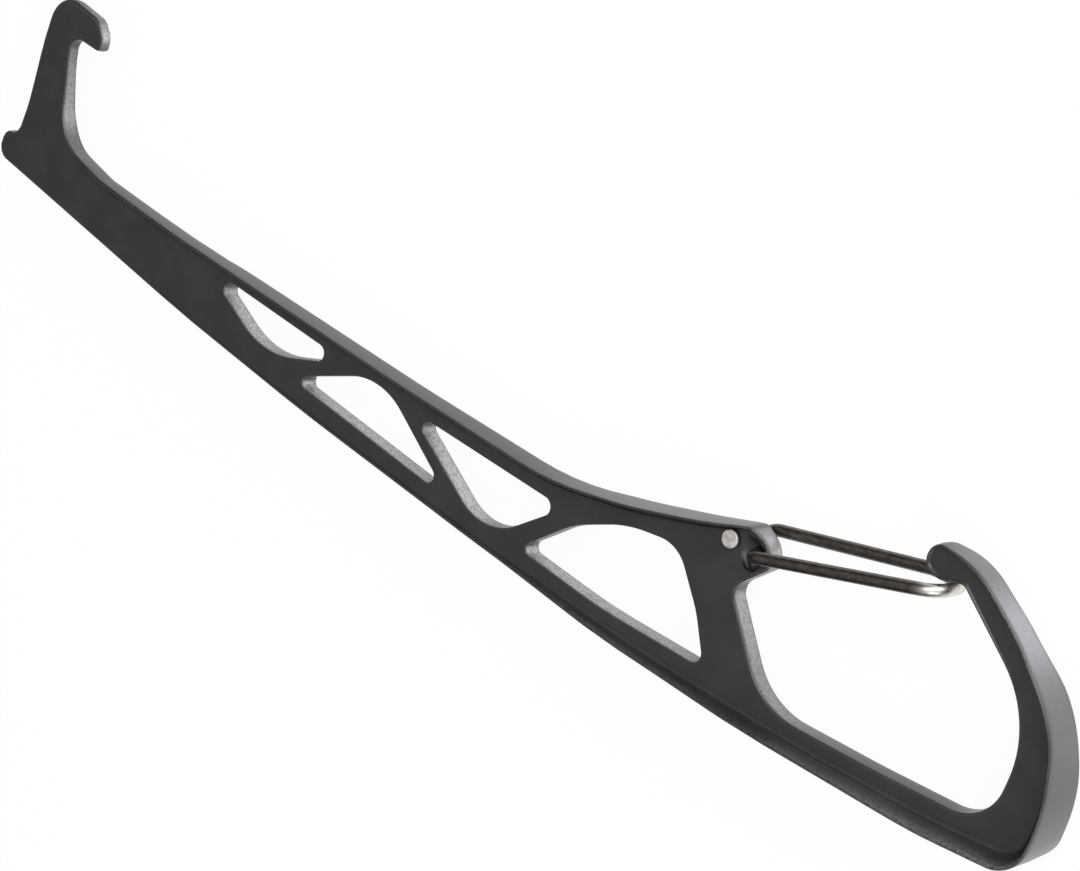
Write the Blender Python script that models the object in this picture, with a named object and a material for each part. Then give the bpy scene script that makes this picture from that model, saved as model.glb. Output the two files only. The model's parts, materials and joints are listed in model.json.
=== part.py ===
"""Nut tool for climbing: a forged body with a hook, a windowed beam and a clip loop, closed by a sprung wire gate.

The tool lies flat. +X runs from the hook to the heel, +Y towards the hook's tip and the gate, +Z out of the face.
Outlines are drawn in millimetres from the foot of the hook, and every solid is made in metres.
"""

import math

import bmesh
import bpy
from mathutils import Vector

MM = 0.001

# Lengths along the tool, in millimetres, from the foot of the hook: each starts where the one before it ends
NECK_LENGTH = 50.7
WINDOW_PITCHES = (23.4, 23.8, 26.0)
LUG_DISTANCE = 30.8
GATE_REACH = 30.2
HEEL_REACH = 24.8

# Heights above the foot of the hook, in millimetres
PIVOT_HEIGHT = 16.3
NOSE_HEIGHT = 27.55

# Thickness of the forging, in millimetres
WEB_THICKNESS = 3.05
HOOK_TIP_THICKNESS = 2.0
NECK_EDGE_THICKNESS = 3.6
CHORD_EDGE_THICKNESS = 4.6
SHOULDER_EDGE_THICKNESS = 6.6
LUG_EDGE_THICKNESS = 4.6
LUG_END_THICKNESS = 3.2
NOSE_EDGE_THICKNESS = 3.5
CROWN_EDGE_THICKNESS = 4.7
HEEL_EDGE_THICKNESS = 9.4

# Edges of the forging, in millimetres
EDGE_ROUND = 0.3
HOOK_EDGE_ROUND = 0.6
EDGE_DRAFT = 0.08
RIDGE_WIDTH = 0.1
RIM_SLOPE = 0.43
FOOT_WIDTH = 0.15
CORNER_SHARE = 0.8
WINDOW_FLARE = 0.15
WINDOW_DRAFT = 0.12

# Stretch of the hook over which it thins, as distances from its foot, and the way that it runs
THINNING = (7.0, 16.5)
THINNING_WAY = Vector((-0.25, 1.0, 0)).normalized()

# Gate wire, in millimetres
WIRE_DIAMETER = 1.75
LEG_CLEARANCE = 0.32
END_BEND_RADIUS = 1.5
NOSE_BEND_RADIUS = 2.4
LEG_BEND_RADIUS = 3.0
PIN_CLEARANCE = 0.18
SEAT_GAP = 0.3
HEAD_DIAMETER = 2.5
HEAD_HEIGHT = 0.45
HEAD_GAP = 0.25

# Ends of the gate, in millimetres from its pivot, and how far it opens
NEAR_END_OFFSET = (4.3, 0.05)
FAR_LEG_KNEE_OFFSET = (2.9, 2.45)
OPENING_ANGLE = math.radians(20)

# Pocket that the near end of the wire swings in, in millimetres
POCKET_DEPTH = 1.0
POCKET_WALL = 1.05
POCKET_FLARE = 0.35
END_LIFT = 0.3

ARC_STEP = math.radians(14)
LONGEST_STEP = 14.0
WIRE_POINT_SPACING = 4.0

HALF_WEB = WEB_THICKNESS / 2
WIRE_RADIUS = WIRE_DIAMETER / 2
LEG_LEVEL = LUG_EDGE_THICKNESS / 2 + LEG_CLEARANCE + WIRE_RADIUS

# Places that the body and the gate share
WINDOW_1, WINDOW_2, WINDOW_3, WINDOW_4 = (NECK_LENGTH + sum(WINDOW_PITCHES[:i]) for i in range(4))
PIVOT = (WINDOW_4 + LUG_DISTANCE, PIVOT_HEIGHT)
NOSE_SEAT = (PIVOT[0] + GATE_REACH, NOSE_HEIGHT)
HEEL = NOSE_SEAT[0] + HEEL_REACH


def beside(place, x, y):
    """A point given by its distance from a shared place."""
    return place[0] + x, place[1] + y


def body_outline():
    """Corners of the forging's outer edge, anticlockwise: x, y, corner radius, thickness and rounding of the edge."""
    lower_edge = [
        (-2.1, 0.0, 2.6, WEB_THICKNESS),
        (WINDOW_1 + 1.3, -4.45, 400, NECK_EDGE_THICKNESS),
        (WINDOW_2 + 7.9, -5.65, 500, 0.9 * CHORD_EDGE_THICKNESS),
        (WINDOW_3 + 20.1, -6.143, 500, CHORD_EDGE_THICKNESS),
        (WINDOW_4 + 22.1, -6.1, 200, 0.7 * HEEL_EDGE_THICKNESS),
        (PIVOT[0] + 17.3, -4.45, 300, 0.85 * HEEL_EDGE_THICKNESS),
        (HEEL - 13.7, -1.75, 80, 0.95 * HEEL_EDGE_THICKNESS),
    ]
    heel = [
        (HEEL, 1.0, 5.0, HEEL_EDGE_THICKNESS),
        (HEEL - 0.4, 11.0, 22, 0.95 * HEEL_EDGE_THICKNESS),
        (HEEL - 4.55, 20.3, 19, 0.76 * HEEL_EDGE_THICKNESS),
        (*beside(NOSE_SEAT, 10.6, -0.45), 40, CROWN_EDGE_THICKNESS),
    ]
    nose = [
        (*beside(NOSE_SEAT, 2.3, 4.067), 12, CROWN_EDGE_THICKNESS),
        (*beside(NOSE_SEAT, -4.3, 3.767), 1.95, NOSE_EDGE_THICKNESS),
        (*beside(NOSE_SEAT, -4.55, 0.25), 1.9, NOSE_EDGE_THICKNESS),
        (*beside(NOSE_SEAT, -1.7, -0.6), 1.6, NOSE_EDGE_THICKNESS),
        (*beside(NOSE_SEAT, 1.7, 0.6), 1.1, NOSE_EDGE_THICKNESS),
    ]
    loop = [
        (HEEL - 7.7, 18.1, 15, WEB_THICKNESS),
        (HEEL - 7.4, 3.4, 6.0, WEB_THICKNESS),
        (HEEL - 23.7, 0.9, 90, WEB_THICKNESS),
        (PIVOT[0] + 13.6, -1.3, 11, WEB_THICKNESS),
        (*beside(PIVOT, 2.7, -5.75), 2.1, WEB_THICKNESS),
    ]
    lug = [
        (*beside(PIVOT, 6.8, -0.95), 1.0, LUG_END_THICKNESS),
        (*beside(PIVOT, 6.05, 2.05), 4.0, LUG_END_THICKNESS),
        (*beside(PIVOT, 2.2, 3.2), 2.2, LUG_EDGE_THICKNESS),
        (*beside(PIVOT, -5.2, 0.05), 100, SHOULDER_EDGE_THICKNESS),
    ]
    upper_edge = [
        (WINDOW_4 + 15.1, 12.55, 80, SHOULDER_EDGE_THICKNESS),
        (WINDOW_4 + 2.1, 8.7, 50, 1.1 * CHORD_EDGE_THICKNESS),
        (WINDOW_3 - 2.9, 7.55, 400, CHORD_EDGE_THICKNESS),
        (WINDOW_1 + 5.3, 6.8, 200, 0.95 * CHORD_EDGE_THICKNESS),
        (WINDOW_1 - 6.7, 6.35, 300, NECK_EDGE_THICKNESS),
    ]
    throat = [
        (22.8, 6.75, 12, NECK_EDGE_THICKNESS),
        (13.5, 8.3, 8.0, WEB_THICKNESS),
        (10.2, 12.5, 9.0, WEB_THICKNESS),
        (7.55, 20.5, 13, WEB_THICKNESS),
        (6.6, 24.75, 1.9, WEB_THICKNESS),
        (13.85, 24.65, 0.9, WEB_THICKNESS),
    ]
    hook_back = [
        (13.8, 27.2, 2.8, WEB_THICKNESS),
        (11.5, 29.5, 3.0, WEB_THICKNESS),
        (0.65, 30.6, 4.9, WEB_THICKNESS),
        (0.15, 20.0, 57, WEB_THICKNESS),
        (1.3, 10.2, 20, WEB_THICKNESS),
        (1.15, 4.9, 2.1, WEB_THICKNESS),
        (-2.248, 4.55, 1.6, WEB_THICKNESS),
    ]
    edges = [
        (lower_edge + heel + nose + loop + lug + upper_edge + throat, EDGE_ROUND),
        (hook_back, HOOK_EDGE_ROUND),
    ]
    return [(*corner, edge_round) for corners, edge_round in edges for corner in corners]


# Corners of the four windows in the beam, anticlockwise: x, y and corner radius, in millimetres
WINDOWS = {
    "window_1": [(WINDOW_1, 5.05, 1.25), (WINDOW_1 + 17.1, -1.7, 15), (WINDOW_1 + 33.5, 5.05, 1.25)],
    "window_2": [(WINDOW_2, -2.14, 1.0), (WINDOW_2 + 35.5, -3.26, 1.1), (WINDOW_2 + 16.7, 6.64, 11.8)],
    "window_3": [(WINDOW_3, 4.88, 1.05), (WINDOW_3 + 19.95, -4.85, 8.8), (WINDOW_3 + 30.7, 5.87, 1.35)],
    "window_4": [
        (WINDOW_4, -3.0, 1.0),
        (WINDOW_4 + 16.1, -3.15, 80),
        (WINDOW_4 + 34.3, -1.55, 1.3),
        (WINDOW_4 + 30.0, 4.7, 14),
        (WINDOW_4 + 23.6, 11.2, 5.5),
        (WINDOW_4 + 15.1, 9.35, 20),
        (WINDOW_4 + 7.3, 4.8, 14),
    ],
}


def corner_arc(before, corner, after, radius):
    """Points of the arc that rounds a corner, and whether it turns left. Works in a plane or in space."""
    to_before, to_after = before - corner, after - corner
    angle = to_before.angle(to_after)
    if radius <= 0 or math.pi - angle < 1e-4:
        return [corner]
    reach = radius / math.tan(angle / 2)
    start = corner + to_before.normalized() * reach
    end = corner + to_after.normalized() * reach
    inward = (to_before.normalized() + to_after.normalized()).normalized()
    centre = corner + inward * radius / math.sin(angle / 2)
    turn = math.pi - angle
    steps = max(2, math.ceil(turn / ARC_STEP))
    first, last = start - centre, end - centre
    points = []
    for step in range(steps + 1):
        part = turn * step / steps
        points.append(centre + (first * math.sin(turn - part) + last * math.sin(part)) / math.sin(turn))
    return points


def rounded_outline(corners):
    """The closed outline with its corners rounded: (point, (edge thickness, edge round), most inset) for each point."""
    spots = [Vector((x, y, 0)) for x, y, *_ in corners]
    rounded = []
    for i, (_, _, radius, *edge) in enumerate(corners):
        before, corner, after = spots[i - 1], spots[i], spots[(i + 1) % len(spots)]
        turns_left = (corner - before).cross(after - corner).z > 0
        most = CORNER_SHARE * radius if turns_left else math.inf
        edge = Vector(edge or (WEB_THICKNESS, EDGE_ROUND))
        rounded += [(point, edge, most) for point in corner_arc(before, corner, after, radius)]
    filled = []
    for i, (point, edge, most) in enumerate(rounded):
        filled.append((point, edge, most))
        following, next_edge, _ = rounded[(i + 1) % len(rounded)]
        pieces = math.ceil((following - point).length / LONGEST_STEP)
        for step in range(1, pieces):
            share = step / pieces
            filled.append((point.lerp(following, share), edge.lerp(next_edge, share), math.inf))
    return filled


def inward_normals(points):
    normals = []
    for i, point in enumerate(points):
        before, after = points[i - 1], points[(i + 1) % len(points)]
        along = (point - before).normalized() + (after - point).normalized()
        normals.append(Vector((-along.y, along.x, 0)).normalized())
    return normals


def loft(name, rings):
    """A closed solid through rings of points that run anticlockwise, from the lowest ring to the highest."""
    mesh = bmesh.new()
    levels = [[mesh.verts.new(point * MM) for point in ring] for ring in rings]
    mesh.faces.new(reversed(levels[0]))
    for lower, upper in zip(levels, levels[1:]):
        for i in range(len(lower)):
            mesh.faces.new((lower[i - 1], lower[i], upper[i], upper[i - 1]))
    mesh.faces.new(levels[-1])
    data = bpy.data.meshes.new(name)
    mesh.to_mesh(data)
    mesh.free()
    return bpy.data.objects.new(name, data)


def edge_profile(edge_thickness, edge_round, most_inset):
    """(inset, height) from the parting line over the rounded edge and down to the web."""
    half = edge_thickness / 2
    rise = half - HALF_WEB
    slope = RIM_SLOPE * rise
    top = edge_round + RIDGE_WIDTH
    profile = [
        (0, 0),
        (EDGE_DRAFT, half - edge_round),
        (EDGE_DRAFT + 0.3 * (edge_round - EDGE_DRAFT), half - 0.3 * edge_round),
        (edge_round, half),
        (top, half),
        (top + 0.6 * slope + 0.3 * FOOT_WIDTH, HALF_WEB + 0.2 * rise),
        (top + slope + FOOT_WIDTH, HALF_WEB),
    ]
    widest = profile[-1][0]
    fit = min(1, most_inset / widest)
    return [(inset * fit, height) for inset, height in profile]


def forged_plate():
    """The forging without its windows: the outline at each level of the edge profile, front and back alike."""
    outline = rounded_outline(body_outline())
    points = [point for point, _, _ in outline]
    normals = inward_normals(points)
    profiles = [edge_profile(*edge, most) for _, edge, most in outline]
    front = []
    for level in range(len(profiles[0])):
        ring = []
        for point, normal, profile in zip(points, normals, profiles):
            inset, height = profile[level]
            ring.append(point + normal * inset + Vector((0, 0, height)))
        front.append(ring)
    back = [[Vector((p.x, p.y, -p.z)) for p in ring] for ring in reversed(front[1:])]
    plate = loft("body", back + front)
    thin_hook(plate.data)
    return plate


def thin_hook(data):
    """Thins the hook evenly between two lines across it, which no other part of the tool meets."""
    mesh = bmesh.new()
    mesh.from_mesh(data)
    start, end = (distance * MM for distance in THINNING)
    for distance in (start, end):
        bmesh.ops.bisect_plane(
            mesh,
            geom=[*mesh.verts, *mesh.edges, *mesh.faces],
            plane_co=THINNING_WAY * distance,
            plane_no=THINNING_WAY,
            dist=0.02 * MM,
        )
    for vert in mesh.verts:
        share = (vert.co.dot(THINNING_WAY) - start) / (end - start)
        share = min(1, max(0, share))
        vert.co.z *= 1 - share * (1 - HOOK_TIP_THICKNESS / WEB_THICKNESS)
    mesh.to_mesh(data)
    mesh.free()


def flared_cutter(name, corners, sections):
    """A cutter whose outline is inset by a different amount at each height."""
    points = [point for point, _, _ in rounded_outline(corners)]
    normals = inward_normals(points)
    rings = []
    for inset, height in sections:
        rings.append([p + n * inset + Vector((0, 0, height)) for p, n in zip(points, normals)])
    return loft(name, rings)


def window_cutter(name, corners):
    over = HALF_WEB + 1.0
    shoulder = HALF_WEB - 2 * WINDOW_FLARE
    sections = [
        (-WINDOW_FLARE, -over),
        (-WINDOW_FLARE, -HALF_WEB),
        (0, -shoulder),
        (WINDOW_DRAFT, 0),
        (0, shoulder),
        (-WINDOW_FLARE, HALF_WEB),
        (-WINDOW_FLARE, over),
    ]
    return flared_cutter(name, corners, sections)


def round_cutter(name, centre, radius):
    """A bore through the web."""
    mesh = bmesh.new()
    bmesh.ops.create_cone(
        mesh,
        cap_ends=True,
        segments=24,
        radius1=radius * MM,
        radius2=radius * MM,
        depth=3 * WEB_THICKNESS * MM,
    )
    bmesh.ops.translate(mesh, vec=Vector((*centre, 0)) * MM, verts=mesh.verts)
    data = bpy.data.meshes.new(name)
    mesh.to_mesh(data)
    mesh.free()
    return bpy.data.objects.new(name, data)


def turned(place, angle):
    """Where a place on the gate goes when the gate opens by an angle."""
    arm = Vector(place) - Vector(PIVOT)
    cosine, sine = math.cos(angle), math.sin(angle)
    return PIVOT[0] + arm.x * cosine + arm.y * sine, PIVOT[1] - arm.x * sine + arm.y * cosine


def pocket_cutter():
    """The scoop that fills the lug's end: the near end of the wire dips into it and swings in it."""
    closed = beside(PIVOT, *NEAR_END_OFFSET)
    opened = turned(closed, OPENING_ANGLE)
    wall = POCKET_WALL
    corners = [
        (*beside(opened, -wall, -wall), wall),
        (*beside(opened, wall, -wall), wall),
        (*beside(closed, 1.6, -0.05), 1.0),
        (*beside(closed, 0.95, 1.15), 1.2),
        (*beside(closed, -1.1, 2.2), 1.3),
        (*beside(closed, -3.3, 1.65), 0.9),
        (*beside(closed, -2.5, -0.65), 0.9),
    ]
    floor = HALF_WEB - POCKET_DEPTH
    sections = [
        (0.3 * wall, floor),
        (0.05, floor + 0.35 * POCKET_DEPTH),
        (-0.4 * POCKET_FLARE, HALF_WEB),
        (-POCKET_FLARE, HALF_WEB + POCKET_FLARE),
        (-POCKET_FLARE, HALF_WEB + 1.0),
    ]
    return flared_cutter("pocket_cutter", corners, sections)


def make_body(material, parts, cutters):
    body = forged_plate()
    parts.objects.link(body)
    cuts = [window_cutter(name, corners) for name, corners in WINDOWS.items()]
    cuts.append(round_cutter("rivet_bore", PIVOT, WIRE_RADIUS + PIN_CLEARANCE))
    cuts.append(pocket_cutter())
    for cutter in cuts:
        cutters.objects.link(cutter)
        cutter.hide_render = True
        cutter.display_type = "WIRE"
        cut = body.modifiers.new(cutter.name, "BOOLEAN")
        cut.operation = "DIFFERENCE"
        cut.solver = "EXACT"
        cut.object = cutter
    body.data.materials.append(material)
    return body, cuts


def spaced(points, spacing):
    """The same path with more points on its long straight runs."""
    path = [points[0]]
    for before, after in zip(points, points[1:]):
        pieces = max(1, math.ceil((after - before).length / spacing))
        path += [before.lerp(after, step / pieces) for step in range(1, pieces + 1)]
    return path


def gate_path():
    """The wire's centre line from the near end in the pocket, round the nose and back to the pivot."""
    near_x, near_y = beside(PIVOT, *NEAR_END_OFFSET)
    near_foot = HALF_WEB - POCKET_DEPTH + END_LIFT
    catch_x, catch_y = beside(NOSE_SEAT, -0.15, -(WIRE_RADIUS + SEAT_GAP))
    knee_x, knee_y = beside(PIVOT, *FAR_LEG_KNEE_OFFSET)
    crook_x, crook_y = beside((catch_x, catch_y), -4.6, -0.3)
    corners = [
        (Vector((near_x, near_y, near_foot)), 0),
        (Vector((near_x, near_y, LEG_LEVEL)), END_BEND_RADIUS),
        (Vector((catch_x, catch_y, LEG_LEVEL)), NOSE_BEND_RADIUS),
        (Vector((catch_x, catch_y, -LEG_LEVEL)), NOSE_BEND_RADIUS),
        (Vector((crook_x, crook_y, -LEG_LEVEL)), 2 * LEG_BEND_RADIUS),
        (Vector((knee_x, knee_y, -LEG_LEVEL)), LEG_BEND_RADIUS),
        (Vector((*PIVOT, -LEG_LEVEL)), END_BEND_RADIUS),
        (Vector((*PIVOT, HALF_WEB + HEAD_GAP)), 0),
    ]
    path = []
    for i, (corner, radius) in enumerate(corners):
        if 0 < i < len(corners) - 1:
            path += corner_arc(corners[i - 1][0], corner, corners[i + 1][0], radius)
        else:
            path.append(corner)
    return spaced(path, WIRE_POINT_SPACING)


def make_gate(material, parts):
    """One bent wire whose far end is headed over the front of the web. Its origin is on the pivot's axis."""
    pivot = Vector((*PIVOT, 0))
    points = [(point, 1.0) for point in gate_path()]
    under_head = points[-1][0]
    full = HEAD_DIAMETER / WIRE_DIAMETER
    head = [(0.02, full), (0.7 * HEAD_HEIGHT, full), (HEAD_HEIGHT, 0.85 * full)]
    points += [(under_head + Vector((0, 0, lift)), share) for lift, share in head]
    curve = bpy.data.curves.new("gate_wire", "CURVE")
    curve.dimensions = "3D"
    curve.bevel_depth = WIRE_RADIUS * MM
    curve.bevel_resolution = 2
    curve.use_fill_caps = True
    spline = curve.splines.new("POLY")
    spline.points.add(len(points) - 1)
    for spot, (point, share) in zip(spline.points, points):
        spot.co = (*((point - pivot) * MM), 1)
        spot.radius = share
    gate = bpy.data.objects.new("gate_wire", curve)
    gate.location = pivot * MM
    gate.data.materials.append(material)
    parts.objects.link(gate)
    return gate


def principled(name, colour, roughness, metallic):
    material = bpy.data.materials.new(name)
    material.use_nodes = True
    shader = material.node_tree.nodes["Principled BSDF"]
    shader.inputs["Base Color"].default_value = (*colour, 1)
    shader.inputs["Roughness"].default_value = roughness
    shader.inputs["Metallic"].default_value = metallic
    return material


def clear_scene():
    for obj in list(bpy.data.objects):
        bpy.data.objects.remove(obj, do_unlink=True)


def placement():
    """An empty that sets the tool down with the middle of its outline over the origin and its heel on z = 0."""
    points = [point for point, _, _ in rounded_outline(body_outline())]
    xs, ys = [point.x for point in points], [point.y for point in points]
    spot = bpy.data.objects.new("placement", None)
    middle = Vector(((min(xs) + max(xs)) / -2, (min(ys) + max(ys)) / -2, HEEL_EDGE_THICKNESS / 2))
    spot.location = middle * MM
    return spot


def main():
    clear_scene()
    scene = bpy.context.scene
    parts = bpy.data.collections.new("nut_tool")
    cutters = bpy.data.collections.new("cutters")
    scene.collection.children.link(parts)
    scene.collection.children.link(cutters)
    forged = principled("black_anodised_alloy", (0.035, 0.035, 0.038), 0.42, 0.6)
    wire = principled("dark_spring_steel", (0.16, 0.14, 0.125), 0.35, 1.0)
    spot = placement()
    parts.objects.link(spot)
    body, cuts = make_body(forged, parts, cutters)
    gate = make_gate(wire, parts)
    for piece in [body, gate, *cuts]:
        piece.parent = spot


main()
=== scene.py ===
import json
import math

import bmesh
import bpy
from bpy.props import FloatProperty, FloatVectorProperty, PointerProperty
from mathutils import Matrix, Vector


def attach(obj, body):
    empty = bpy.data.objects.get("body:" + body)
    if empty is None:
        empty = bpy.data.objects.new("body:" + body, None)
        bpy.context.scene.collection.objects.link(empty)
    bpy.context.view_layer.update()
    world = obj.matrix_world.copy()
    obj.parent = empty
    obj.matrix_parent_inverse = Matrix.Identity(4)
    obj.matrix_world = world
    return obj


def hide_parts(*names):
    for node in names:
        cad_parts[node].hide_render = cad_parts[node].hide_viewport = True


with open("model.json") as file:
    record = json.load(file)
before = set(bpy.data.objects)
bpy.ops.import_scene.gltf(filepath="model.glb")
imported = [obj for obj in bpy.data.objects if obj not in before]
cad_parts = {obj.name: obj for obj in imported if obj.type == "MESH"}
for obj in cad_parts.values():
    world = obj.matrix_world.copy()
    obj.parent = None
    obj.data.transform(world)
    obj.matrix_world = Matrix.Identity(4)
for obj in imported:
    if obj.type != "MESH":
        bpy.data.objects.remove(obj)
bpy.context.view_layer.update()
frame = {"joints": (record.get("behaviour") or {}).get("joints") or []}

bl_info = {
    "name": "Nut tool",
    "version": (1, 0, 0),
    "blender": (4, 5, 0),
    "location": "View3D > Sidebar > Nut tool",
    "description": "Builds a climbing nut tool: a forged body with a windowed beam, and a sprung wire gate",
    "category": "Object",
}

MM = 0.001
UP = Vector((0, 0, 1))

# Places along the tool, in millimetres from the foot of the hook
WINDOW_1, WINDOW_2, WINDOW_3, WINDOW_4 = 50.7, 74.1, 97.9, 123.9
PIVOT = Vector((154.7, 16.3, 0))
NOSE_SEAT = Vector((184.9, 27.55, 0))
HEEL = 209.7

# The same places in the frame: the gate's joint stands on the pivot, half way through the web
PLACE = Vector(frame["joints"][0]["pos_m"]) - PIVOT * MM

# Edges of the forging, in millimetres
EDGE_DRAFT = 0.08
RIDGE_WIDTH = 0.1
RIM_SLOPE = 0.43
LUG_RIM_SLOPE = 0.16
FOOT_WIDTH = 0.15
CORNER_SHARE = 0.8
HOLD = 0.1
WINDOW_FLARE = 0.15
WINDOW_DRAFT = 0.12
UNLIMITED = 100

# The hook thins between these distances from its foot, measured along this direction, in this many steps
THINNING = (7.0, 16.5)
THINNING_WAY = Vector((-0.25, 1.0, 0)).normalized()
THINNING_STEPS = 8

# Fineness of the meshes
ARC_STEP = math.radians(4)
BEND_STEP = math.radians(7)
LONGEST_STEP = 1.2
ROUND_STEPS = 4
RIM_STEPS = (0.1, 0.25, 0.4, 0.55, 0.7, 0.85, 1.0)
SCOOP_STEPS = (0, 0.05, 0.12, 0.2, 0.3, 0.42, 0.55, 0.7, 0.85, 1)
WIRE_SIDES = 28
CIRCLE_SIDES = 48

# Points closer than this are one point, and points this near a cut lie on it, in millimetres
SAME_SPOT = 0.001
ON_CUT = 0.005

# Arcs are finer here than in the CAD model, so the outline stays this far inside its own line, in millimetres
SHY = 0.006

# How far each line of an edge, from its middle up, is a wall and how far it carries a painted highlight along
# its ridge
EDGE_WALL = (1, 1, 0.5, 0.15, 0, 0)
EDGE_RIDGE_HIGHLIGHT = (0, 0, 0, 0, 0, 0, 0.5, 1, 0.9, 0.5, 0.1)
WINDOW_WALL = (1, 1, 0.8, 0.4, 0.1, 0)
WINDOW_RIDGE_HIGHLIGHT = (0, 0, 0, 0.3, 1, 1, 0.4)

# A ridge's painted highlight is this much stronger where the edge has wear and painted sheen
RIDGE_HIGHLIGHT_GAIN = 8

# Painted light on the blasted walls: they are painted palest where they face this way, and elsewhere at least
# this pale, in painted shade
LIT_WAY = Vector((0.6, 0.8, 0))
LEAST_PALE = 0.12

# The hole for the wire's far end: its clearance round the wire, its chamfer, and its wall's rings from front
# to back. Each ring has its distance outside the hole and its height as a share of half the web.
HOLE_CLEARANCE = 0.18
CHAMFER = 0.2
HOLE_WALL = [(0.1, 1), (0.03, 0.98), (0, 0.93), (0, -0.93), (0.03, -0.98), (0.1, -1), (CHAMFER, -1)]

# The wire's ends from the middle of the web, its clearance under the nose, and the bends of its centre line
NEAR_END_LEVEL = 0.825
FAR_END_LEVEL = 1.8
NOSE_CLEARANCE = 0.3
LEG_BEND = 1.5
END_BEND = 2.4
CROOK_BEND = 6.0
KNEE_BEND = 3.0

# The headed end of the wire
HEAD_BASE = 1.795
HEAD_DEPTH = 0.45
HEAD_BEVEL = 0.14

# The wire's wear and painted sheen start this far short of the nose's seat, and are full this much further on
RUB_AND_SHEEN_FROM = 3.2
RUB_AND_SHEEN_FADE = 2.0

# The stage, in metres: the floor's half width, its drop below the tool, and how bright the camera sees it
FLOOR_REACH = 2.5
FLOOR_DROP = 0.0002
FLOOR_SEEN = 0.96

# The camera's place in metres, its turn in degrees and its sensor's width in millimetres
CAMERA_SPOT = (0.192221, 0.113212, 0.263615)
CAMERA_TURN = (-4.3567, 38.7947, 25.8463)
SENSOR_WIDTH = 36

# Each lamp's name, spot, aim and width, in metres, and its factor on the lamp power
LAMPS = [
    ("overhead_lamp", (0.25, 0.55, 1.1), (0, 0, 0), 0.8, 0.5),
    ("key_lamp", (0.6, 0.95, 0.45), (0, 0, 0), 0.7, 1.2),
    ("side_lamp", (1.05, -0.35, 0.7), (0.05, 0, 0), 0.7, 0.6),
]


class BodySizes(bpy.types.PropertyGroup):
    """Sizes and colours of the forged body"""

    web: FloatProperty(
        name="Web thickness",
        description="Thickness of the flat plate between the rims",
        default=3.05 * MM,
        unit="LENGTH",
    )
    hook_tip: FloatProperty(
        name="Hook thickness",
        description="Thickness of the hook at its tip",
        default=2.0 * MM,
        unit="LENGTH",
    )
    neck_rim: FloatProperty(
        name="Neck rim",
        description="Thickness of the edge beside the hook",
        default=3.6 * MM,
        unit="LENGTH",
    )
    beam_rim: FloatProperty(
        name="Beam rim",
        description="Thickness of the edges of the windowed beam",
        default=4.6 * MM,
        unit="LENGTH",
    )
    shoulder_rim: FloatProperty(
        name="Shoulder rim",
        description="Thickness of the edge above the largest window",
        default=6.6 * MM,
        unit="LENGTH",
    )
    lug_rim: FloatProperty(
        name="Lug rim",
        description="Thickness of the edge of the lug where the gate's legs pass it",
        default=4.6 * MM,
        unit="LENGTH",
    )
    lug_end: FloatProperty(
        name="Lug end",
        description="Thickness of the very end of the lug",
        default=3.2 * MM,
        unit="LENGTH",
    )
    nose_rim: FloatProperty(
        name="Nose rim",
        description="Thickness of the nose that the gate closes on",
        default=3.5 * MM,
        unit="LENGTH",
    )
    crown_rim: FloatProperty(
        name="Crown rim",
        description="Thickness of the edge between the nose and the heel",
        default=4.7 * MM,
        unit="LENGTH",
    )
    heel_rim: FloatProperty(
        name="Heel rim",
        description="Thickness of the heel, which is hit with the palm",
        default=9.4 * MM,
        unit="LENGTH",
    )
    edge_round: FloatProperty(
        name="Edge rounding",
        description="Radius of the rounded edges",
        default=0.3 * MM,
        unit="LENGTH",
    )
    hook_round: FloatProperty(
        name="Hook rounding",
        description="Radius of the rounded back of the hook",
        default=0.65 * MM,
        unit="LENGTH",
    )
    colour: FloatVectorProperty(
        name="Black finish",
        description="Colour of the anodised finish",
        default=(0.0165, 0.0155, 0.018),
        size=3,
        subtype="COLOR",
    )
    # Pale colour of the blasted walls, which are also painted paler or darker by the way they face, as
    # painted light and shade
    wall_colour: FloatVectorProperty(
        name="Blasted walls",
        description="Colour of the rougher walls inside the windows, the loop and the hook",
        default=(0.6, 0.6, 0.61),
        size=3,
        subtype="COLOR",
    )
    # Colour of wear on rubbed edges, also used as painted sheen on those edges and as painted highlights
    # along the ridges
    wear_and_highlight_colour: FloatVectorProperty(
        name="Worn finish",
        description="Colour of the finish where the palm and the rock have rubbed it",
        default=(0.42, 0.43, 0.45),
        size=3,
        subtype="COLOR",
    )


class GateSizes(bpy.types.PropertyGroup):
    """Sizes and colours of the wire gate"""

    wire: FloatProperty(
        name="Wire diameter",
        description="Diameter of the gate's spring wire",
        default=1.75 * MM,
        unit="LENGTH",
    )
    leg_level: FloatProperty(
        name="Leg level",
        description="Height of each leg's centre line from the middle of the web",
        default=3.495 * MM,
        unit="LENGTH",
    )
    head: FloatProperty(
        name="Head diameter",
        description="Diameter of the flattened end of the wire",
        default=2.5 * MM,
        unit="LENGTH",
    )
    colour: FloatVectorProperty(
        name="Spring steel",
        description="Colour of the wire's dark drawn surface",
        default=(0.2, 0.172, 0.155),
        size=3,
        subtype="COLOR",
    )
    # Bare steel of the head, also used for the wear and painted reflection on the closed bend
    head_colour: FloatVectorProperty(
        name="Bare steel",
        description="Colour of the headed end and of the rubbed bend",
        default=(0.8, 0.76, 0.71),
        size=3,
        subtype="COLOR",
    )


class StageSettings(bpy.types.PropertyGroup):
    """Floor, light and camera"""

    floor_colour: FloatVectorProperty(
        name="Floor",
        description="Colour of the floor",
        default=(0.9, 0.9, 0.9),
        size=3,
        subtype="COLOR",
    )
    lamp_power: FloatProperty(
        name="Lamp power",
        description="Power that the lamps share out, each by its own factor",
        default=8.0,
        unit="POWER",
    )
    lens: FloatProperty(
        name="Lens",
        description="Focal length of the camera, in millimetres",
        default=80.0,
    )


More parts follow.
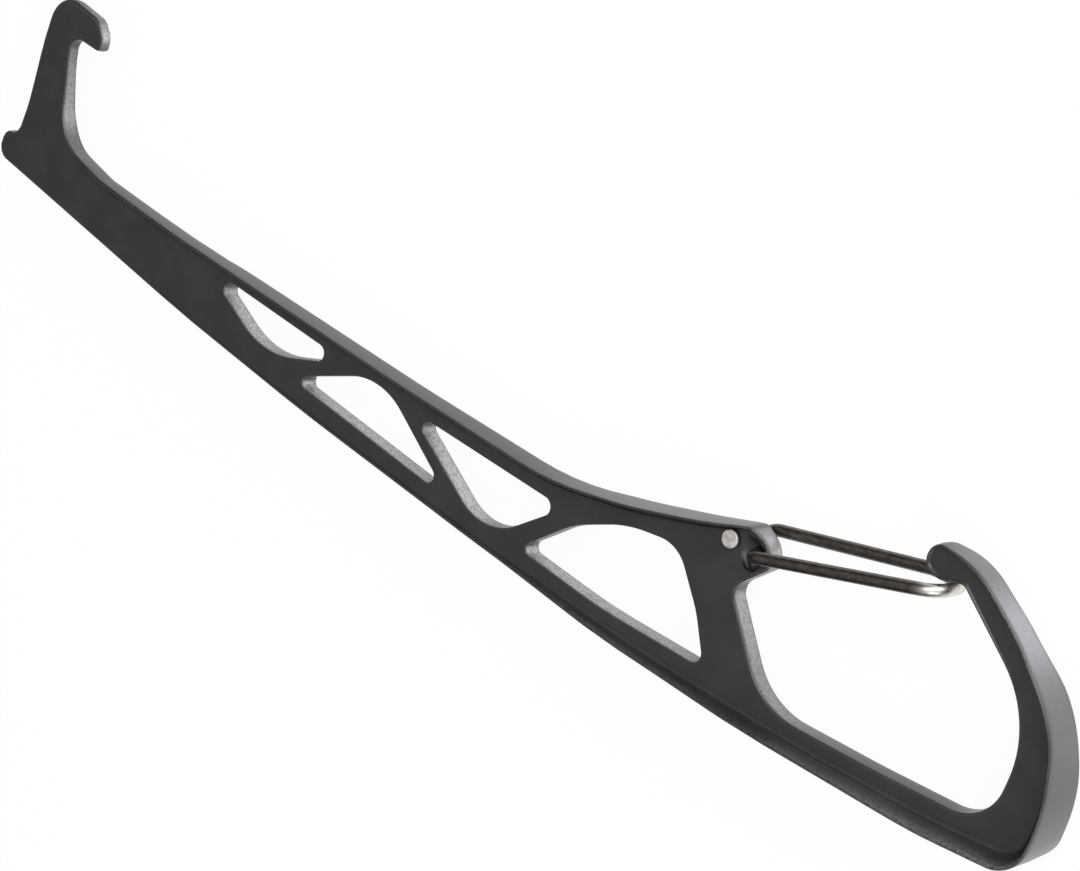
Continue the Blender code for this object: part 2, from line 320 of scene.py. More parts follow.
def body_outline(sizes):
    """Corners of the outer edge, anticlockwise: x, y and corner radius, then the edge's own values.

    These are its thickness, rounding, blasting, wear with painted sheen, and rim slope.
    """
    web = sizes.web / MM
    neck, beam = sizes.neck_rim / MM, sizes.beam_rim / MM
    shoulder, crown = sizes.shoulder_rim / MM, sizes.crown_rim / MM
    lug, lug_end = sizes.lug_rim / MM, sizes.lug_end / MM
    nose, heel = sizes.nose_rim / MM, sizes.heel_rim / MM
    plain, hooked = sizes.edge_round / MM, sizes.hook_round / MM
    lower_edge = [
        (-2.1, 0.0, 2.6, web, plain, 0, 0),
        (WINDOW_1 + 1.3, -4.45, 400, neck, plain, 0, 0),
        (WINDOW_2 + 7.9, -5.65, 500, 0.9 * beam, plain, 0, 0),
        (WINDOW_3 + 20.1, -6.143, 500, beam, plain, 0, 0),
        (WINDOW_4 + 22.1, -6.1, 200, 0.7 * heel, plain, 0, 0),
        (PIVOT.x + 17.3, -4.45, 300, 0.85 * heel, plain, 0, 0),
    ]
    # The last number of each corner is its wear with painted sheen, strongest at the heel, crown and lug end
    heel_edge = [
        (HEEL - 13.7, -1.75, 80, 0.95 * heel, plain, 0, 0.2),
        (HEEL, 1.0, 5.0, heel, plain, 0, 0.3),
        (HEEL - 0.4, 11.0, 22, 0.95 * heel, plain, 0, 0.05),
        (HEEL - 4.55, 20.3, 19, 0.76 * heel, plain, 0, 0.2),
        (NOSE_SEAT.x + 10.6, NOSE_SEAT.y - 0.45, 40, crown, plain, 0, 1),
    ]
    nose_edge = [
        (NOSE_SEAT.x + 2.3, NOSE_SEAT.y + 4.067, 12, crown, plain, 0, 0.3),
        (NOSE_SEAT.x - 4.3, NOSE_SEAT.y + 3.767, 1.95, nose, plain, 0, 0),
        (NOSE_SEAT.x - 4.55, NOSE_SEAT.y + 0.25, 1.9, nose, plain, 0, 0),
        (NOSE_SEAT.x - 1.7, NOSE_SEAT.y - 0.6, 1.6, nose, plain, 0, 0),
        (NOSE_SEAT.x + 1.7, NOSE_SEAT.y + 0.6, 1.1, nose, plain, 0, 0),
    ]
    loop_edge = [
        (HEEL - 7.7, 18.1, 15, web, plain, 0, 0),
        (HEEL - 7.4, 3.4, 6.0, web, plain, 0, 0),
        (HEEL - 23.7, 0.9, 90, web, plain, 0, 0),
        (PIVOT.x + 13.6, -1.3, 11, web, plain, 0.4, 0),
        (PIVOT.x + 2.7, PIVOT.y - 5.75, 2.1, web, plain, 0.7, 0),
    ]
    lug_edge = [
        (PIVOT.x + 6.8, PIVOT.y - 0.95, 1.0, lug_end, plain, 0, 0.6),
        (PIVOT.x + 6.05, PIVOT.y + 2.05, 4.0, lug_end, plain, 0, 1),
        (PIVOT.x + 2.2, PIVOT.y + 3.2, 2.2, lug, plain, 0, 0),
    ]
    upper_edge = [
        (PIVOT.x - 5.2, PIVOT.y + 0.05, 100, shoulder, plain, 0, 0),
        (WINDOW_4 + 15.1, 12.55, 80, shoulder, plain, 0, 0),
        (WINDOW_4 + 2.1, 8.7, 50, 1.1 * beam, 1.2 * plain, 0, 0),
        (WINDOW_3 - 2.9, 7.55, 400, beam, 1.4 * plain, 0, 0),
        (WINDOW_1 + 5.3, 6.8, 200, 0.95 * beam, 1.6 * plain, 0, 0),
        (WINDOW_1 - 6.7, 6.35, 300, neck, 1.8 * plain, 0, 0),
        (22.8, 6.75, 12, neck, 2 * plain, 0, 0),
    ]
    throat_edge = [
        (13.5, 8.3, 8.0, web, plain, 0.15, 0),
        (10.2, 12.5, 9.0, web, plain, 0.6, 0),
        (7.55, 20.5, 13, web, plain, 0.45, 0),
        (6.6, 24.75, 1.9, web, plain, 0.5, 0),
        (13.85, 24.65, 0.9, web, plain, 1, 0),
    ]
    hook_edge = [
        (13.8, 27.2, 2.8, web, 1.5 * plain, 1, 0),
        (11.5, 29.5, 3.0, web, 0.7 * hooked, 0, 0.3),
        (0.65, 30.6, 4.9, web, hooked, 0, 0),
        (0.15, 20.0, 57, web, hooked, 0, 0),
        (1.3, 10.2, 20, web, hooked, 0, 0),
        (1.15, 4.9, 2.1, web, 0.7 * hooked, 0, 0),
        (-2.248, 4.55, 1.6, web, hooked, 0, 0),
    ]
    before_lug = [*lower_edge, *heel_edge, *nose_edge, *loop_edge]
    after_lug = [*upper_edge, *throat_edge, *hook_edge]
    runs = [(before_lug, RIM_SLOPE), (lug_edge, LUG_RIM_SLOPE), (after_lug, RIM_SLOPE)]
    return [(*corner, slope) for corners, slope in runs for corner in corners]


# Corners of the four windows in the beam, anticlockwise: x, y and corner radius, in millimetres
WINDOWS = [
    [(WINDOW_1, 5.05, 1.25), (WINDOW_1 + 17.1, -1.7, 15), (WINDOW_1 + 33.5, 5.05, 1.25)],
    [(WINDOW_2, -2.14, 1.0), (WINDOW_2 + 35.5, -3.26, 1.1), (WINDOW_2 + 16.7, 6.64, 11.8)],
    [(WINDOW_3, 4.88, 1.05), (WINDOW_3 + 19.95, -4.85, 8.8), (WINDOW_3 + 30.7, 5.87, 1.35)],
    [
        (WINDOW_4, -3.0, 1.0),
        (WINDOW_4 + 16.1, -3.15, 80),
        (WINDOW_4 + 34.3, -1.55, 1.3),
        (WINDOW_4 + 30.0, 4.7, 14),
        (WINDOW_4 + 23.6, 11.2, 5.5),
        (WINDOW_4 + 15.1, 9.35, 20),
        (WINDOW_4 + 7.3, 4.8, 14),
    ],
]

# The near end of the wire stands here when the gate is closed, and here when it is open
OPENING = math.radians(20)
NEAR_END = PIVOT + Vector((4.3, 0.05, 0))
NEAR_END_OPEN = PIVOT + Matrix.Rotation(-OPENING, 3, "Z") @ (NEAR_END - PIVOT)

# Scoop in the lug's end round the near end of the wire, and the slot in its floor that the wire swings in
SCOOP = [
    (NEAR_END_OPEN.x - 1.21, NEAR_END_OPEN.y - 1.15, 1.15),
    (NEAR_END_OPEN.x + 0.67, NEAR_END_OPEN.y - 1.15, 1.15),
    (NEAR_END.x + 1.55, NEAR_END.y - 0.1, 1.0),
    (NEAR_END.x + 0.85, NEAR_END.y + 1.0, 1.1),
    (NEAR_END.x - 1.1, NEAR_END.y + 2.0, 1.3),
    (NEAR_END.x - 3.3, NEAR_END.y + 1.65, 0.9),
    (NEAR_END.x - 2.5, NEAR_END.y - 0.65, 0.9),
]
SCOOP_DEPTH = 0.6
SCOOP_LIP = 0.06
SCOOP_CURVE = 2.2
SLOT_RADIUS = 1.0
SLOT_DEPTH = 1.0
SLOT_MARGIN = 0.4

# The rings of the slot's wall: how far each lies inside the slot's edge, and how deep
SLOT_WALL = [(0.015, SCOOP_DEPTH + 0.04), (0.03, SCOOP_DEPTH + 0.1), (0.05, SLOT_DEPTH)]


def clamped(value):
    return min(1, max(0, value))


def smooth(share):
    """A share from 0 to 1, eased at both ends."""
    return share * share * (3 - 2 * share)


def bend_at(before, corner, after, radius):
    """Where the arc that rounds a corner starts, the centre and axis that it turns about, and its angle."""
    arriving = (corner - before).normalized()
    leaving = (after - corner).normalized()
    turn = arriving.angle(leaving)
    axis = arriving.cross(leaving).normalized()
    start = corner - arriving * radius * math.tan(turn / 2)
    centre = start + axis.cross(arriving) * radius
    return start, centre, axis, turn


def only_verts(geometry):
    return [item for item in geometry if isinstance(item, bmesh.types.BMVert)]


def only_edges(geometry):
    return [item for item in geometry if isinstance(item, bmesh.types.BMEdge)]


def ring_edges(mesh, ring):
    return [mesh.edges.get((ring[i - 1], ring[i])) for i in range(len(ring))]


def draw_loop(mesh, corners, marks=()):
    """A closed line round the corners, each rounded by spinning a vertex. Marks name layers for values."""
    layers = [mesh.verts.layers.float.get(mark) or mesh.verts.layers.float.new(mark) for mark in marks]
    spots = [Vector((x, y, 0)) for x, y, *_ in corners]
    arcs = []
    for i, (_, _, radius, *values) in enumerate(corners):
        start, centre, axis, turn = bend_at(spots[i - 1], spots[i], spots[(i + 1) % len(spots)], radius)
        first = mesh.verts.new(start)
        for layer, value in zip(layers, values):
            first[layer] = value
        steps = max(2, math.ceil(turn / ARC_STEP))
        spun = bmesh.ops.spin(mesh, geom=[first], cent=centre, axis=axis, angle=turn, steps=steps)
        arcs.append((first, only_verts(spun["geom_last"])[0]))
    for i, (first, _) in enumerate(arcs):
        here = arcs[i - 1][1]
        straight = mesh.edges.new((here, first))
        for pieces in range(math.ceil(straight.calc_length() / LONGEST_STEP), 1, -1):
            _, here = bmesh.utils.edge_split(straight, here, 1 / pieces)
    return walk(arcs[0][0], spots[0] - spots[-1])


def walk(first, heading):
    """The vertices of a closed line in order, starting off along the heading."""
    ring = [first]
    neighbours = [edge.other_vert(first) for edge in first.link_edges]
    here = max(neighbours, key=lambda vert: (vert.co - first.co).dot(heading))
    while here is not first:
        ring.append(here)
        neighbours = [edge.other_vert(here) for edge in here.link_edges]
        here = next(vert for vert in neighbours if vert is not ring[-2])
    return ring


def inward_normals(points):
    """Directions at right angles to a closed line, to the left of its way round."""
    normals = []
    for i, point in enumerate(points):
        before, after = points[i - 1], points[(i + 1) % len(points)]
        along = (point - before).normalized() + (after - point).normalized()
        normals.append(Vector((-along.y, along.x, 0)).normalized())
    return normals


def eased(values, passes=10):
    """Values round a closed line, with their sudden changes spread over their neighbours."""
    for _ in range(passes):
        following = values[1:] + values[:1]
        values = [(values[i - 1] + 2 * value + following[i]) / 4 for i, value in enumerate(values)]
    return values


def grow(mesh, ring, places, marks=None):
    """Extrudes a closed ring and moves its copy to the places. Marks give layers and the copy's values."""
    grown = set(only_verts(bmesh.ops.extrude_edge_only(mesh, edges=ring_edges(mesh, ring))["geom"]))
    copies = []
    for vert in ring:
        copies.append(next(e.other_vert(vert) for e in vert.link_edges if e.other_vert(vert) in grown))
    for copy, place in zip(copies, places):
        copy.co = place
    for layer, values in (marks or {}).items():
        for copy, value in zip(copies, values):
            copy[layer] = value
    return copies


def lit_paleness(outward):
    """How pale a blasted wall is painted for the way it faces: painted light where it faces the lit way,
    painted shade where it faces away.
    """
    share = clamped(2 * outward.dot(LIT_WAY) - 1)
    return LEAST_PALE + (1 - LEAST_PALE) * smooth(share)


def level_of(shares, level):
    """The share of one line of an edge, and 0 past the last."""
    return shares[level] if level < len(shares) else 0


def join(mesh, other):
    """Adds another mesh to this one."""
    data = bpy.data.meshes.new("joined")
    other.to_mesh(data)
    other.free()
    mesh.from_mesh(data)
    bpy.data.meshes.remove(data)


def edge_profile(thickness, edge_round, slope, half_web, most_inset):
    """(inset, height) from the parting line over the rounded edge and down the rim to the web.

    The rim comes down along a quadratic curve that ends level with the web.
    """
    half = thickness / 2
    rise = max(0, half - half_web)
    top = edge_round + RIDGE_WIDTH
    steep = slope * rise
    foot = FOOT_WIDTH * slope / RIM_SLOPE
    profile = [(0, 0), (0.75 * EDGE_DRAFT, 0.75 * (half - edge_round)), (EDGE_DRAFT, half - edge_round)]
    for step in range(1, ROUND_STEPS + 1):
        angle = math.pi / 2 * step / ROUND_STEPS
        inset = EDGE_DRAFT + (edge_round - EDGE_DRAFT) * (1 - math.cos(angle))
        profile.append((inset, half - edge_round * (1 - math.sin(angle))))
    profile.append((top, half))
    for share in RIM_STEPS:
        inset = 2 * share * (1 - share) * (0.5 * steep + 0.1 * foot) + share * share * (steep + foot)
        profile.append((top + inset, half_web + (1 - share) ** 2 * rise))
    profile.append((profile[-1][0] + HOLD, half_web))
    fit = min(1, most_inset / profile[-1][0])
    return [(inset * fit, height) for inset, height in profile]


def forge_edge(sizes):
    """The front half of the outer edge, from the parting line to where it meets the web."""
    mesh = bmesh.new()
    corners = []
    outline = body_outline(sizes)
    for i, (x, y, radius, *values) in enumerate(outline):
        before, after = Vector(outline[i - 1][:2]), Vector(outline[(i + 1) % len(outline)][:2])
        corner = Vector((x, y))
        turns_left = (corner - before).cross(after - corner) > 0
        corners.append((x, y, radius, *values, CORNER_SHARE * radius if turns_left else UNLIMITED))
    marks = ("thickness", "edge_round", "wall", "wear_and_sheen", "slope", "most_inset", "ridge_highlight")
    ring = draw_loop(mesh, corners, marks)
    layers = {mark: mesh.verts.layers.float[mark] for mark in marks}
    smoothed = [eased([vert[layers[mark]] for vert in ring]) for mark in marks[:5]]
    thickness, edge_round, wall, wear_and_sheen, slope = smoothed
    most = [vert[layers["most_inset"]] for vert in ring]
    normals = inward_normals([vert.co for vert in ring])
    points = [vert.co + normal * SHY for vert, normal in zip(ring, normals)]
    # Painted light and shade: each wall's blasted share is scaled by the way the wall faces
    wall = [value * lit_paleness(-normal) for value, normal in zip(wall, normals)]
    half_web = sizes.web / MM / 2
    profiles = []
    for full, rounding, steepness, most_inset in zip(thickness, edge_round, slope, most):
        profiles.append(edge_profile(full, rounding, steepness, half_web, most_inset))
    # Wall values carry painted light by facing; the next values carry wear with painted sheen
    for vert, point, blasted_and_lit, rub_and_sheen in zip(ring, points, wall, wear_and_sheen):
        vert.co = point
        vert[layers["wall"]] = blasted_and_lit
        vert[layers["wear_and_sheen"]] = rub_and_sheen
    for level in range(1, len(profiles[0])):
        places = []
        for point, normal, profile in zip(points, normals, profiles):
            inset, height = profile[level]
            places.append(point + normal * inset + UP * height)
        as_wall = level_of(EDGE_WALL, level)
        # Painted highlight along the rounded crest of the edge
        as_highlight = level_of(EDGE_RIDGE_HIGHLIGHT, level)
        shades = {
            layers["wall"]: [as_wall * value for value in wall],
            layers["wear_and_sheen"]: [as_wall * value for value in wear_and_sheen],
            layers["ridge_highlight"]: [as_highlight * (1 + RIDGE_HIGHLIGHT_GAIN * value) for value in wear_and_sheen],
        }
        ring = grow(mesh, ring, places, shades)
    for mark in ("thickness", "edge_round", "slope", "most_inset"):
        mesh.verts.layers.float.remove(mesh.verts.layers.float[mark])
    return mesh


def cut_window(corners, half_web):
    """The front half of a window's wall, with its edge rounded into the web."""
    mesh = bmesh.new()
    ring = draw_loop(mesh, corners, ("wall", "ridge_highlight"))
    wall, ridge_highlight = mesh.verts.layers.float["wall"], mesh.verts.layers.float["ridge_highlight"]
    points = [vert.co.copy() for vert in ring]
    normals = inward_normals(points)
    for vert, normal in zip(ring, normals):
        vert.co += normal * WINDOW_DRAFT
        # Painted light and shade: the window's wall is painted paler where it faces the lit way
        vert[wall] = lit_paleness(normal)
    shoulder = half_web - 2 * WINDOW_FLARE
    profile = [(0.4 * WINDOW_DRAFT, 0.6 * shoulder), (0, shoulder)]
    for step in range(1, ROUND_STEPS + 1):
        angle = math.pi / 2 * step / ROUND_STEPS
        inset = -WINDOW_FLARE * (1 - math.cos(angle))
        profile.append((inset, shoulder + 2 * WINDOW_FLARE * math.sin(angle)))
    profile.append((-WINDOW_FLARE - HOLD, half_web))
    # Each ring of the window's wall keeps the painted light and shade of the way it faces
    for level, (inset, height) in enumerate(profile, 1):
        places = [p + n * inset + UP * height for p, n in zip(points, normals)]
        # Painted highlight along the window's rounded rim
        shades = {
            wall: [level_of(WINDOW_WALL, level) * lit_paleness(normal) for normal in normals],
            ridge_highlight: [level_of(WINDOW_RIDGE_HIGHLIGHT, level)] * len(ring),
        }
        ring = grow(mesh, ring, places, shades)
    return mesh


def bore_rivet_hole(half_web, radius):
    """The wall of the hole that the wire's far end passes through, front to back."""
    mesh = bmesh.new()
    made = bmesh.ops.create_circle(
        mesh, segments=CIRCLE_SIDES, radius=radius + CHAMFER, matrix=Matrix.Translation(PIVOT + UP * half_web)
    )
    ring = sorted(made["verts"], key=lambda v: math.atan2(v.co.y - PIVOT.y, v.co.x - PIVOT.x))
    ways = [Vector((v.co.x - PIVOT.x, v.co.y - PIVOT.y, 0)).normalized() for v in ring]
    for out, height in HOLE_WALL:
        places = [PIVOT + way * (radius + out) + UP * half_web * height for way in ways]
        ring = grow(mesh, ring, places)
    return mesh


def carve_scoop(half_web):
    """The dished scoop in the lug's end, and the slot in its floor."""
    mesh = bmesh.new()
    ring = draw_loop(mesh, SCOOP)
    points = [vert.co + UP * half_web for vert in ring]
    normals = inward_normals(points)
    for vert, point, normal in zip(ring, points, normals):
        vert.co = point - normal * SCOOP_LIP
    swing = NEAR_END_OPEN - NEAR_END
    slot = []
    soft = []
    for point in points:
        flat = Vector((point.x, point.y, 0))
        share = clamped((flat - NEAR_END).dot(swing) / swing.length_squared)
        axis_spot = NEAR_END + swing * share
        slot.append(axis_spot + (flat - axis_spot).normalized() * SLOT_RADIUS)
        soft.append(clamped((flat - slot[-1]).length - SLOT_MARGIN))
    for share in SCOOP_STEPS:
        places = []
        for point, end, ease in zip(points, slot, soft):
            steep = 1 - (1 - share) ** SCOOP_CURVE
            gentle = smooth(share)
            depth = SCOOP_DEPTH * (steep + (gentle - steep) * ease)
            place = point.lerp(end + UP * half_web, share)
            places.append(place - UP * depth)
        ring = grow(mesh, ring, places)
    centre = (NEAR_END + NEAR_END_OPEN) / 2
    for inset, depth in SLOT_WALL:
        places = []
        for end in slot:
            place = end + (centre - end).normalized() * inset
            places.append(place + UP * (half_web - depth))
        ring = grow(mesh, ring, places)
    bmesh.ops.triangle_fill(mesh, use_beauty=True, edges=ring_edges(mesh, ring), normal=UP)
    return mesh


def fill_web(mesh, level):
    """Closes the flat of the web between every open ring at this height."""
    rims = []
    for edge in mesh.edges:
        if len(edge.link_faces) == 1 and all(abs(vert.co.z - level) < SAME_SPOT for vert in edge.verts):
            rims.append(edge)
    bmesh.ops.triangle_fill(mesh, use_beauty=True, edges=rims, normal=UP)


def thin_hook(mesh, share_left):
    """Thins the hook smoothly across its foot, towards the share of the web's thickness given."""
    start, end = THINNING
    for step in range(THINNING_STEPS + 1):
        bmesh.ops.bisect_plane(
            mesh,
            geom=[*mesh.verts, *mesh.edges, *mesh.faces],
            plane_co=THINNING_WAY * (start + (end - start) * step / THINNING_STEPS),
            plane_no=THINNING_WAY,
            dist=ON_CUT,
        )
    for vert in mesh.verts:
        share = clamped((vert.co.dot(THINNING_WAY) - start) / (end - start))
        share = 0.5 * share + 0.5 * smooth(share)
        vert.co.z *= 1 - share * (1 - share_left)


def settle(mesh, name, finish):
    """Scales a mesh from millimetres, moves it to its place in the frame and makes it a smooth object."""
    bmesh.ops.recalc_face_normals(mesh, faces=mesh.faces)
    bmesh.ops.scale(mesh, vec=Vector((MM, MM, MM)), verts=mesh.verts)
    bmesh.ops.translate(mesh, vec=PLACE, verts=mesh.verts)
    for face in mesh.faces:
        face.smooth = True
    data = bpy.data.meshes.new(name)
    mesh.to_mesh(data)
    mesh.free()
    data.materials.append(finish)
    piece = bpy.data.objects.new(name, data)
    bpy.context.scene.collection.objects.link(piece)
    return piece


class Value:
    """A number that varies over a surface. Arithmetic on it adds Math nodes to its node tree."""

    def __init__(self, nodes, socket):
        self.nodes = nodes
        self.socket = socket

    def maths(self, operation, *numbers):
        node = self.nodes.add("ShaderNodeMath", {"operation": operation}, dict(enumerate(numbers)))
        return Value(self.nodes, node.outputs[0])

    def __add__(self, other):
        return self.maths("ADD", self, other)

    def __sub__(self, other):
        return self.maths("SUBTRACT", self, other)

    def __rsub__(self, other):
        return self.maths("SUBTRACT", other, self)

    def __mul__(self, other):
        return self.maths("MULTIPLY", self, other)

    __radd__ = __add__
    __rmul__ = __mul__

    def between(self, low, high):
        """0 where the value is at or below low, 1 where it is at or above high, and smooth in between."""
        node = self.nodes.add(
            "ShaderNodeMapRange",
            {"interpolation_type": "SMOOTHSTEP"},
            {"Value": self, "From Min": low, "From Max": high},
        )
        return Value(self.nodes, node.outputs[0])


class Nodes:
    """A node tree and the ways that this tool's finishes add to it."""

    def __init__(self, tree):
        self.tree = tree
        self.tree.nodes.clear()

    def add(self, kind, settings=None, values=None):
        node = self.tree.nodes.new(kind)
        for name, setting in (settings or {}).items():
            setattr(node, name, setting)
        for key, value in (values or {}).items():
            self.fill(node.inputs[key], value)
        return node

    def fill(self, socket, value):
        if isinstance(value, Value):
            value = value.socket
        if isinstance(value, bpy.types.NodeSocket):
            self.tree.links.new(value, socket)
        else:
            socket.default_value = value

    def place(self, scale=(1, 1, 1), turn=0.0):
        """Object coordinates, turned about Z and scaled."""
        coordinates = self.add("ShaderNodeTexCoord").outputs["Object"]
        values = {"Vector": coordinates, "Rotation": (0, 0, turn), "Scale": scale}
        return self.add("ShaderNodeMapping", None, values).outputs[0]

    def noise(self, scale, detail=2.0, roughness=0.5, where=None):
        values = {"Scale": scale, "Detail": detail, "Roughness": roughness, "Vector": where or self.place()}
        return Value(self, self.add("ShaderNodeTexNoise", None, values).outputs["Fac"])

    def mark(self, name):
        """A float that the mesh carries at its vertices."""
        return Value(self, self.add("ShaderNodeAttribute", {"attribute_name": name}).outputs["Fac"])

    def mix(self, share, first, second):
        """A colour between two colours."""
        node = self.add("ShaderNodeMix", {"data_type": "RGBA"}, {"Factor": share})
        self.fill(node.inputs[6], first)
        self.fill(node.inputs[7], second)
        return node.outputs[2]

    def bump(self, height, distance, strength):
        values = {"Height": height, "Distance": distance, "Strength": strength}
        return self.add("ShaderNodeBump", None, values).outputs[0]

    def shine(self, values):
        """Ends the tree in a Principled shader with these values."""
        shader = self.add("ShaderNodeBsdfPrincipled", None, values)
        self.add("ShaderNodeOutputMaterial", None, {"Surface": shader.outputs[0]})


def new_finish(name):
    material = bpy.data.materials.new(name)
    material.use_nodes = True
    return material, Nodes(material.node_tree)


def opaque(colour):
    return (*colour, 1)


def anodised_finish(sizes):
    """Black hard anodising with a fine grain; paler on blasted walls, with painted light by the way they
    face; painted highlights along the ridges; and wear with painted sheen on rubbed places.
    """
    material, nodes = new_finish("black_anodised_alloy")
    wall = nodes.mark("wall")
    wear_and_sheen = nodes.mark("wear_and_sheen")
    # Painted highlight along the crests of the edges and the window rims
    ridge_highlight = nodes.mark("ridge_highlight")
    grain = nodes.noise(2600, 3, 0.6)
    cloud = nodes.noise(160, 3, 0.55)
    pebble = nodes.noise(2200, 2, 0.5)
    paler = opaque([1.5 * part for part in sizes.colour])
    mottled = nodes.mix(cloud.between(0.35, 0.75), opaque(sizes.colour), paler)
    # Wear with painted sheen on rubbed edges, plus painted highlights along the ridges
    wear_and_highlight = wear_and_sheen * (0.8 + 0.4 * grain.between(0.3, 0.7) * cloud) + ridge_highlight * 0.07 * grain.between(0.3, 0.6)
    face = nodes.mix(wear_and_highlight, mottled, opaque(sizes.wear_and_highlight_colour))
    # Blasted walls: a real paler finish, painted paler still where they face the lit way, as painted light
    colour = nodes.mix(wall * (0.65 + 0.35 * pebble.between(0.35, 0.6)), face, opaque(sizes.wall_colour))
    height = grain * 0.6 + wall * pebble * 2
    nodes.shine(
        {
            "Base Color": colour,
            "Metallic": 0.7 * wall + 0.5 * wear_and_sheen * (1 - wall),
            "Roughness": 0.3 + 0.1 * cloud + 0.15 * wall,
            "IOR": 1.7,
            "Normal": nodes.bump(height, 0.02 * MM, 0.5),
        }
    )
    return material


def wire_finish(sizes):
    """Drawn spring steel: dark, with faint streaks along the legs, worn bright with a painted reflection at
    the closed end.
    """
    material, nodes = new_finish("drawn_spring_steel")
    rub_and_sheen = nodes.mark("rub_and_sheen")
    streaks = nodes.noise(4500, 2, 0.5, nodes.place((0.03, 1, 1), math.radians(-21)))
    blotches = nodes.noise(1100, 4, 0.65)
    dark = opaque([0.5 * part for part in sizes.colour])
    uneven = 0.4 * streaks.between(0.3, 0.7) + 0.6 * blotches.between(0.35, 0.65)
    drawn = nodes.mix(uneven, dark, opaque(sizes.colour))
    # Wear with painted reflection at the closed end of the wire
    colour = nodes.mix(rub_and_sheen * blotches.between(0.2, 0.5), drawn, opaque(sizes.head_colour))
    nodes.shine(
        {
            "Base Color": colour,
            "Metallic": 1.0,
            "Roughness": 0.3 + 0.15 * streaks,
            "Normal": nodes.bump(streaks, 0.01 * MM, 0.6),
        }
    )
    return material


def head_finish(sizes):
    """Bare steel, brushed flat by the heading tool."""
    material, nodes = new_finish("bare_steel_head")
    blotches = nodes.noise(900, 3, 0.6)
    dull = opaque([0.65 * part for part in sizes.head_colour])
    colour = nodes.mix(blotches.between(0.35, 0.6), dull, opaque(sizes.head_colour))
    nodes.shine(
        {
            "Base Color": colour,
            "Metallic": 0.6,
            "Roughness": 0.4 + 0.2 * blotches,
            "Normal": nodes.bump(blotches, 0.02 * MM, 0.5),
        }
    )
    return material


def gate_corners(sizes):
    """Corners of the wire's centre line, from its near end to the nose and back to the pivot, with radii."""
    radius = sizes.wire / MM / 2
    level = UP * sizes.leg_level / MM
    catch = NOSE_SEAT + Vector((-0.15, -(radius + NOSE_CLEARANCE), 0))
    crook = catch + Vector((-4.6, -0.3, 0))
    knee = PIVOT + Vector((2.9, 2.45, 0))
    return [
        (NEAR_END + UP * NEAR_END_LEVEL, 0),
        (NEAR_END + level, LEG_BEND),
        (catch + level, END_BEND),
        (catch - level, END_BEND),
        (crook - level, CROOK_BEND),
        (knee - level, KNEE_BEND),
        (PIVOT - level, LEG_BEND),
        (PIVOT + UP * FAR_END_LEVEL, 0),
    ]


def sweep_wire(mesh, corners, radius):
    """A round wire in an empty mesh: a disc extruded along each straight and spun round each bend."""
    here = corners[0][0]
    bmesh.ops.create_circle(
        mesh, cap_ends=True, segments=WIRE_SIDES, radius=radius, matrix=Matrix.Translation(here)
    )
    rim = list(mesh.edges)
    for i in range(1, len(corners)):
        corner, bend_radius = corners[i]
        bend = None
        start = corner
        if bend_radius:
            bend = bend_at(corners[i - 1][0], corner, corners[i + 1][0], bend_radius)
            start = bend[0]
        run = start - here
        pieces = max(1, round(run.length / LONGEST_STEP))
        for _ in range(pieces):
            grown = bmesh.ops.extrude_edge_only(mesh, edges=rim)["geom"]
            verts = only_verts(grown)
            fresh = set(verts)
            rim = [edge for edge in only_edges(grown) if all(vert in fresh for vert in edge.verts)]
            bmesh.ops.translate(mesh, vec=run / pieces, verts=verts)
        here = start
        if bend:
            _, centre, axis, turn = bend
            steps = math.ceil(turn / BEND_STEP)
            spun = bmesh.ops.spin(
                mesh, geom=[*verts, *rim], cent=centre, axis=axis, angle=turn, steps=steps
            )["geom_last"]
            verts, rim = only_verts(spun), only_edges(spun)
            here = centre + Matrix.Rotation(turn, 3, axis) @ (here - centre)
    bmesh.ops.holes_fill(mesh, edges=rim, sides=0)


def bend_wire(sizes):
    """The gate's wire, marked for wear and painted sheen where the nose and the hand rub it."""
    mesh = bmesh.new()
    sweep_wire(mesh, gate_corners(sizes), sizes.wire / MM / 2)
    rub_and_sheen = mesh.verts.layers.float.new("rub_and_sheen")
    for vert in mesh.verts:
        vert[rub_and_sheen] = smooth(clamped((vert.co.x - NOSE_SEAT.x + RUB_AND_SHEEN_FROM) / RUB_AND_SHEEN_FADE))
    return mesh


def head_far_end(sizes):
    """The flattened disc that holds the wire's far end in the lug."""
    mesh = bmesh.new()
    bmesh.ops.create_cone(
        mesh,
        cap_ends=True,
        segments=CIRCLE_SIDES,
        radius1=sizes.head / MM / 2,
        radius2=sizes.head / MM / 2,
        depth=HEAD_DEPTH,
        matrix=Matrix.Translation(PIVOT + UP * (HEAD_BASE + HEAD_DEPTH / 2)),
    )
    rims = [edge for edge in mesh.edges if len({len(face.verts) for face in edge.link_faces}) == 2]
    bmesh.ops.bevel(
        mesh, geom=rims, offset=HEAD_BEVEL, segments=3, affect="EDGES", profile=0.5, material=-1
    )
    return mesh


